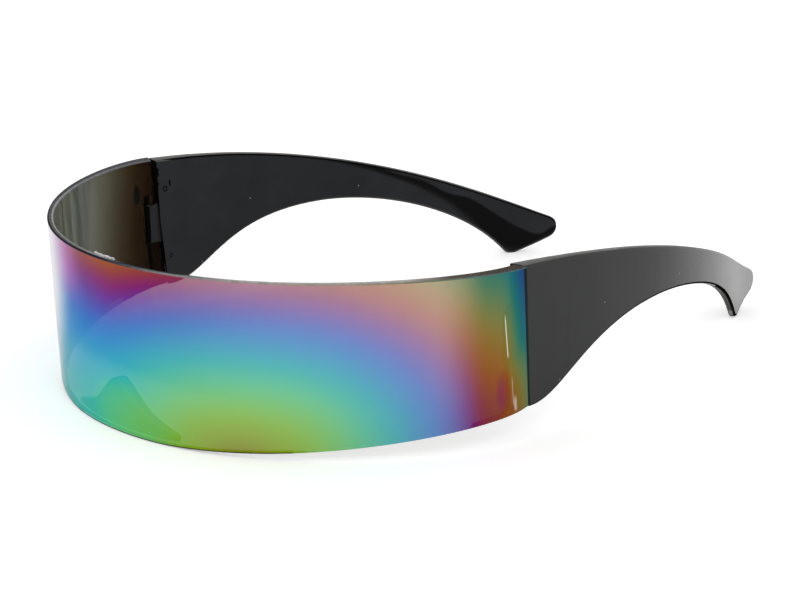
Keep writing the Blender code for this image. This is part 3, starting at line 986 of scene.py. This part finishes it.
def band_face_finish(face):
    """Name of the finish for a face of the band, from where it lies and where it faces."""
    out = Vector((face.center.x, face.center.y - BAND_CENTRE_Y))
    outward = face.normal.xy.dot(out.normalized())
    along = abs(face.normal.xy.dot(Vector((-out.y, out.x)).normalized()))
    run = abs(BAND_RADIUS * math.atan2(face.center.x, BAND_CENTRE_Y - face.center.y))
    upward = face.normal.z
    if run > JOINT_RUN and along > JOINT_ALONG:
        return "joint"
    if upward < FOOT_DOWN and face.center.z < FOOT_HEIGHT:
        return "foot"
    if upward > RIM_UP and face.center.z > RIM_HEIGHT:
        if upward > FLAT_UP:
            return "flat"
        if outward < 0.0:
            return "inner line"
        return "shoulder" if upward > SHOULDER_UP else "outer line"
    if outward > COAT_OUT and out.length > BAND_OUTER_LIMIT:
        return "coat"
    if run > BAND_END_RUN and outward > END_OUT:
        return "joint"
    return "inner"


def plastic_material(name, color, roughness, specular, sheen=0.0, reflection=False):
    """Moulded black plastic with faint clouds and sparse dust, and where asked a painted dark reflection
    and a painted sheen.
    """
    made, nodes, links = new_material(name)
    vector, split = object_place(nodes, links)
    base = scaled(nodes, links, color, grain(nodes, links, vector, scale=70.0, low=0.85, high=1.18))
    if reflection:
        base = mixed(nodes, links, reflection_mask(nodes, links, split), base, REFLECTION_TINT)
    # Painted sheen: towards the tips the outer side is mixed towards white where it is seen edge on.
    if sheen:
        grazing = step_between(nodes, links, edge_on(nodes), *SHEEN_FACING, SHEEN_LEAST, 1.0)
        back = step_between(nodes, links, split.outputs["Y"], *SHEEN_BACK, 0.0, 1.0)
        glare = math_node(nodes, links, "MULTIPLY", grazing, back)
        glare = math_node(nodes, links, "MULTIPLY", glare, sheen)
        base = mixed(nodes, links, glare, base, WHITE)
    specks = dust(nodes, links, vector, DUST_SCALE, DUST_SIZE)
    specks = math_node(nodes, links, "MULTIPLY", specks, DUST_SHARE)
    base = mixed(nodes, links, specks, base, DUST_TINT)
    surface = principled(nodes, links, {
        "Base Color": base,
        "Roughness": grain(nodes, links, vector, scale=110.0, low=roughness - 0.04, high=roughness + 0.04),
        "Specular IOR Level": specular,
        "Normal": relief(nodes, links, vector, scale=1500.0, depth=0.00001),
    })
    finish_with(nodes, links, surface)
    return made


def reflection_mask(nodes, links, split):
    """One inside the dark slanting reflection on a temple's inner face, as a socket."""
    way = math_node(nodes, links, "DIVIDE", split.outputs["Y"], REFLECTION_LENGTH)
    height = math_node(nodes, links, "DIVIDE", split.outputs["Z"], REFLECTION_HEIGHT)
    over = math_node(nodes, links, "SUBTRACT", height, curve_node(nodes, links, way, REFLECTION_TOP))
    under = math_node(nodes, links, "SUBTRACT", height, curve_node(nodes, links, way, REFLECTION_FOOT))
    below_top = step_between(nodes, links, over, -REFLECTION_BORDER, REFLECTION_BORDER, 1.0, 0.0)
    soft = step_between(nodes, links, way, *REFLECTION_SOFT_WAY, *REFLECTION_SOFT_FOOT)
    above_foot = step_between(nodes, links, under, soft, REFLECTION_FOOT_BORDER, 0.0, 1.0)
    inside = math_node(nodes, links, "MULTIPLY", below_top, above_foot)
    started = step_between(nodes, links, way, *REFLECTION_RISE, 0.0, 1.0)
    return math_node(nodes, links, "MULTIPLY", started, inside)


# How a temple's faces are told apart: the hinge end's place, and the lean of their normals.
HINGE_END_Y = -0.024
HINGE_END_FORWARD = -0.3
UNDER_DOWN = -0.2
UNDER_OUT = 0.5
OUTER_OUT = 0.35
TOP_UP = 0.6
TOP_LINE_UP = 0.15
UNDER_SIDEWAYS = 0.98


def temple_finishes(settings):
    """The finishes of a temple's outer face, inner face, edges and dark lines; the edges are painted
    lighter for the light they catch and the dark lines are painted shade.
    """
    return {
        "outer": plastic_material(
            "satin_outer_face", settings.outer_plastic,
            roughness=0.24, specular=0.42, sheen=settings.tip_sheen,
        ),
        "inner": plastic_material(
            "satin_inner_face", settings.inner_plastic_and_reflection, roughness=0.35, specular=0.08, reflection=True
        ),
        # Painted light: the edges are lighter than the black sides, for the light they catch.
        "edge": plastic_material("satin_edge_painted_light", (0.066, 0.064, 0.060), roughness=0.35, specular=0.08),
        "line": rim_material("shaded_edge_line", SHADE_BLACK),
    }


def temple_face_finish(face, side):
    """Name of the finish for a face of the temple on one side, from its place and where it faces."""
    outward = face.normal.x * side
    upward = face.normal.z
    if face.center.y < HINGE_END_Y and face.normal.y < HINGE_END_FORWARD:
        return "line"
    if upward < UNDER_DOWN and outward > UNDER_OUT:
        return "line"
    if outward > OUTER_OUT:
        return "outer"
    if upward > TOP_UP or (upward < UNDER_DOWN and abs(outward) < UNDER_SIDEWAYS):
        return "edge"
    if upward > TOP_LINE_UP:
        return "line"
    return "inner"


def steel_material():
    """Drawn steel with fine lines round the pin."""
    made, nodes, links = new_material("drawn_pin_steel")
    vector, split = object_place(nodes, links)
    round_pin = stretched(nodes, links, vector, (0.1, 0.1, 1.0))
    clouds = grain(nodes, links, vector, scale=500.0, low=0.0, high=1.0)
    surface = principled(nodes, links, {
        "Base Color": mixed(nodes, links, clouds, (0.46, 0.46, 0.47), (0.62, 0.62, 0.63)),
        "Metallic": 1.0,
        "Roughness": grain(nodes, links, round_pin, scale=6000.0, low=0.22, high=0.42),
        "Normal": relief(nodes, links, round_pin, scale=6000.0, depth=0.000004),
    })
    finish_with(nodes, links, surface)
    return made


def scar_material():
    """Torn pale plastic of the gate scar."""
    made, nodes, links = new_material("torn_gate_scar")
    vector, split = object_place(nodes, links)
    clouds = grain(nodes, links, vector, scale=2500.0, low=0.0, high=1.0)
    surface = principled(nodes, links, {
        "Base Color": mixed(nodes, links, clouds, (0.30, 0.30, 0.31), (0.85, 0.85, 0.88)),
        "Roughness": grain(nodes, links, vector, scale=2000.0, low=0.2, high=0.5),
        "Normal": relief(nodes, links, vector, scale=3000.0, depth=0.00004),
    })
    finish_with(nodes, links, surface)
    return made


class VISOR_OT_lens(bpy.types.Operator):
    """Makes the mirrored band"""

    bl_idname = "visor.lens"
    bl_label = "Lens band"

    def execute(self, context):
        settings = context.scene.visor_lens
        lens = shell_of("lens_shield", "lens_band")
        soften(lens, settings.rim_bevel)
        dress(lens, band_finishes(settings), band_face_finish)
        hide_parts("lens_shield")
        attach(lens, "front")
        return {"FINISHED"}


class VISOR_OT_gate_scar(bpy.types.Operator):
    """Makes the torn scar of the moulding gate on the band's top edge"""

    bl_idname = "visor.gate_scar"
    bl_label = "Gate scar"

    def execute(self, context):
        step = SCAR_LENGTH / len(SCAR_HEIGHTS)
        crumbs = []
        for number, height in enumerate(SCAR_HEIGHTS):
            x = (number + 0.5) * step - SCAR_LENGTH / 2.0
            place = (x, SCAR_PLACE_Y, BAND_TOP + (height - SCAR_ROOT) / 2.0)
            crumbs.append(add_block(place, (SCAR_CRUMB_SHARE * step, SCAR_DEPTH, SCAR_ROOT + height)))
        scar = joined(crumbs, "gate_scar")
        soften(scar, SCAR_BEVEL)
        scar.data.materials.append(scar_material())
        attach(scar, "front")
        return {"FINISHED"}


class VISOR_OT_nose_rest(bpy.types.Operator):
    """Makes the nose rest inside the band"""

    bl_idname = "visor.nose_rest"
    bl_label = "Nose rest"

    def execute(self, context):
        rest = shell_of("nose_rest", "nose_rest_pad")
        soften(rest, NOSE_BEVEL)
        finish = plastic_material("smoky_nose_plastic", (0.020, 0.020, 0.020), roughness=0.18, specular=0.4)
        rest.data.materials.append(finish)
        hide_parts("nose_rest")
        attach(rest, "front")
        return {"FINISHED"}


class VISOR_OT_temples(bpy.types.Operator):
    """Makes both temples"""

    bl_idname = "visor.temples"
    bl_label = "Temples"

    def execute(self, context):
        settings = context.scene.visor_temples
        finishes = temple_finishes(settings)
        for word, side in (("left", 1.0), ("right", -1.0)):
            temple = shell_of(f"temple_{word}", f"{word}_temple_arm")
            soften(temple, settings.edge_bevel)
            dress(temple, finishes, lambda face: temple_face_finish(face, side))
            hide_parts(f"temple_{word}")
            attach(temple, f"{word}_temple")
        return {"FINISHED"}


class VISOR_OT_hinge_marks(bpy.types.Operator):
    """Makes the small moulded marks beside the hinges"""

    bl_idname = "visor.hinge_marks"
    bl_label = "Hinge marks"

    def execute(self, context):
        # Painted shade: the moulded marks are near black for the shade that falls in and beside them.
        finish = rim_material("shaded_hinge_mark", SHADE_BLACK)
        for word, side in (("left", -1.0), ("right", 1.0)):
            marks = [add_block((side * x, y, z), size) for (x, y, z), size in HINGE_MARKS]
            for (x, y, z), radius, thickness in HINGE_RINGS:
                marks.append(add_side_ring((side * x, y, z), radius, thickness))
            made = joined(marks, f"{word}_hinge_marks")
            soften(made, MARK_BEVEL)
            made.data.materials.clear()
            made.data.materials.append(finish)
            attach(made, f"{word}_temple")
        return {"FINISHED"}


class VISOR_OT_pins(bpy.types.Operator):
    """Finishes the hinge pins"""

    bl_idname = "visor.pins"
    bl_label = "Hinge pins"

    def execute(self, context):
        finish = steel_material()
        for word in ("left", "right"):
            pin = shell_of(f"hinge_pin_{word}", f"{word}_pin_rod")
            soften(pin, PIN_BEVEL)
            pin.data.materials.append(finish)
            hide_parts(f"hinge_pin_{word}")
            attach(pin, "front")
        return {"FINISHED"}


class VISOR_OT_stage(bpy.types.Operator):
    """Makes the floor, the light and the camera"""

    bl_idname = "visor.stage"
    bl_label = "Stage"

    def execute(self, context):
        settings = context.scene.visor_stage
        deselect_all()
        bpy.ops.mesh.primitive_plane_add(size=settings.floor_size)
        floor = context.active_object
        floor.name = "floor"
        floor.data.materials.append(floor_material())
        light_world(context.scene)
        add_camera(settings)
        context.scene.view_settings.view_transform = "Standard"
        return {"FINISHED"}


def floor_material():
    """Pale floor that keeps the shadow and looks white to the camera."""
    made, nodes, links = new_material("white_floor")
    diffuse = nodes.new("ShaderNodeBsdfDiffuse")
    diffuse.inputs["Color"].default_value = FLOOR_TONE
    glow = nodes.new("ShaderNodeEmission")
    path = nodes.new("ShaderNodeLightPath")
    strength = math_node(nodes, links, "MULTIPLY", path.outputs["Is Camera Ray"], FLOOR_GLOW)
    links.new(strength, glow.inputs["Strength"])
    both = nodes.new("ShaderNodeAddShader")
    links.new(diffuse.outputs[0], both.inputs[0])
    links.new(glow.outputs[0], both.inputs[1])
    finish_with(nodes, links, both.outputs[0])
    return made


def light_world(scene):
    world = bpy.data.worlds.new("studio")
    scene.world = world
    world.use_nodes = True
    background = world.node_tree.nodes["Background"]
    background.inputs["Color"].default_value = (1.0, 1.0, 1.0, 1.0)
    background.inputs["Strength"].default_value = 1.0


def add_camera(settings):
    """A camera at the photograph's angle, framed for a picture of 790 by 600."""
    azimuth = settings.camera_azimuth
    elevation = settings.camera_elevation
    roll = settings.camera_roll
    back = Vector((
        math.sin(azimuth) * math.cos(elevation),
        -math.cos(azimuth) * math.cos(elevation),
        math.sin(elevation),
    ))
    level = Vector((math.cos(azimuth), math.sin(azimuth), 0.0))
    upright = back.cross(level)
    right = math.cos(roll) * level + math.sin(roll) * upright
    up = -math.sin(roll) * level + math.cos(roll) * upright
    place = (
        Vector((0.0, CAD_LOW.y, 0.0))
        + settings.camera_shift_right * right
        + settings.camera_shift_up * up
        + settings.camera_distance * back
    )
    deselect_all()
    bpy.ops.object.camera_add()
    camera = bpy.context.active_object
    camera.name = "camera"
    turn = Matrix((right, up, back)).transposed().to_4x4()
    camera.matrix_world = Matrix.Translation(place) @ turn
    camera.data.sensor_width = 36.0
    camera.data.lens = settings.camera_lens
    camera.data.clip_start = 0.01
    camera.data.clip_end = 50.0
    bpy.context.scene.camera = camera


class VISOR_PT_panel(bpy.types.Panel):
    """Lists the steps and sizes of the visor sunglasses"""

    bl_label = "Visor sunglasses"
    bl_idname = "VISOR_PT_panel"
    bl_space_type = "VIEW_3D"
    bl_region_type = "UI"
    bl_category = "Sunglasses"

    def draw(self, context):
        layout = self.layout
        for operator in OPERATORS:
            layout.operator(operator.bl_idname)


SETTINGS = {
    "visor_lens": VisorLensSettings,
    "visor_temples": VisorTempleSettings,
    "visor_stage": VisorStageSettings,
}
OPERATORS = (
    VISOR_OT_lens,
    VISOR_OT_gate_scar,
    VISOR_OT_nose_rest,
    VISOR_OT_temples,
    VISOR_OT_hinge_marks,
    VISOR_OT_pins,
    VISOR_OT_stage,
)


def register():
    for settings in SETTINGS.values():
        bpy.utils.register_class(settings)
    for name, settings in SETTINGS.items():
        setattr(bpy.types.Scene, name, bpy.props.PointerProperty(type=settings))
    for operator in OPERATORS:
        bpy.utils.register_class(operator)
    bpy.utils.register_class(VISOR_PT_panel)


def unregister():
    bpy.utils.unregister_class(VISOR_PT_panel)
    for operator in reversed(OPERATORS):
        bpy.utils.unregister_class(operator)
    for name, settings in SETTINGS.items():
        delattr(bpy.types.Scene, name)
        bpy.utils.unregister_class(settings)


def main():
    register()
    bpy.ops.visor.lens()
    bpy.ops.visor.gate_scar()
    bpy.ops.visor.nose_rest()
    bpy.ops.visor.temples()
    bpy.ops.visor.hinge_marks()
    bpy.ops.visor.pins()
    bpy.ops.visor.stage()


if __name__ == "__main__":
    main()
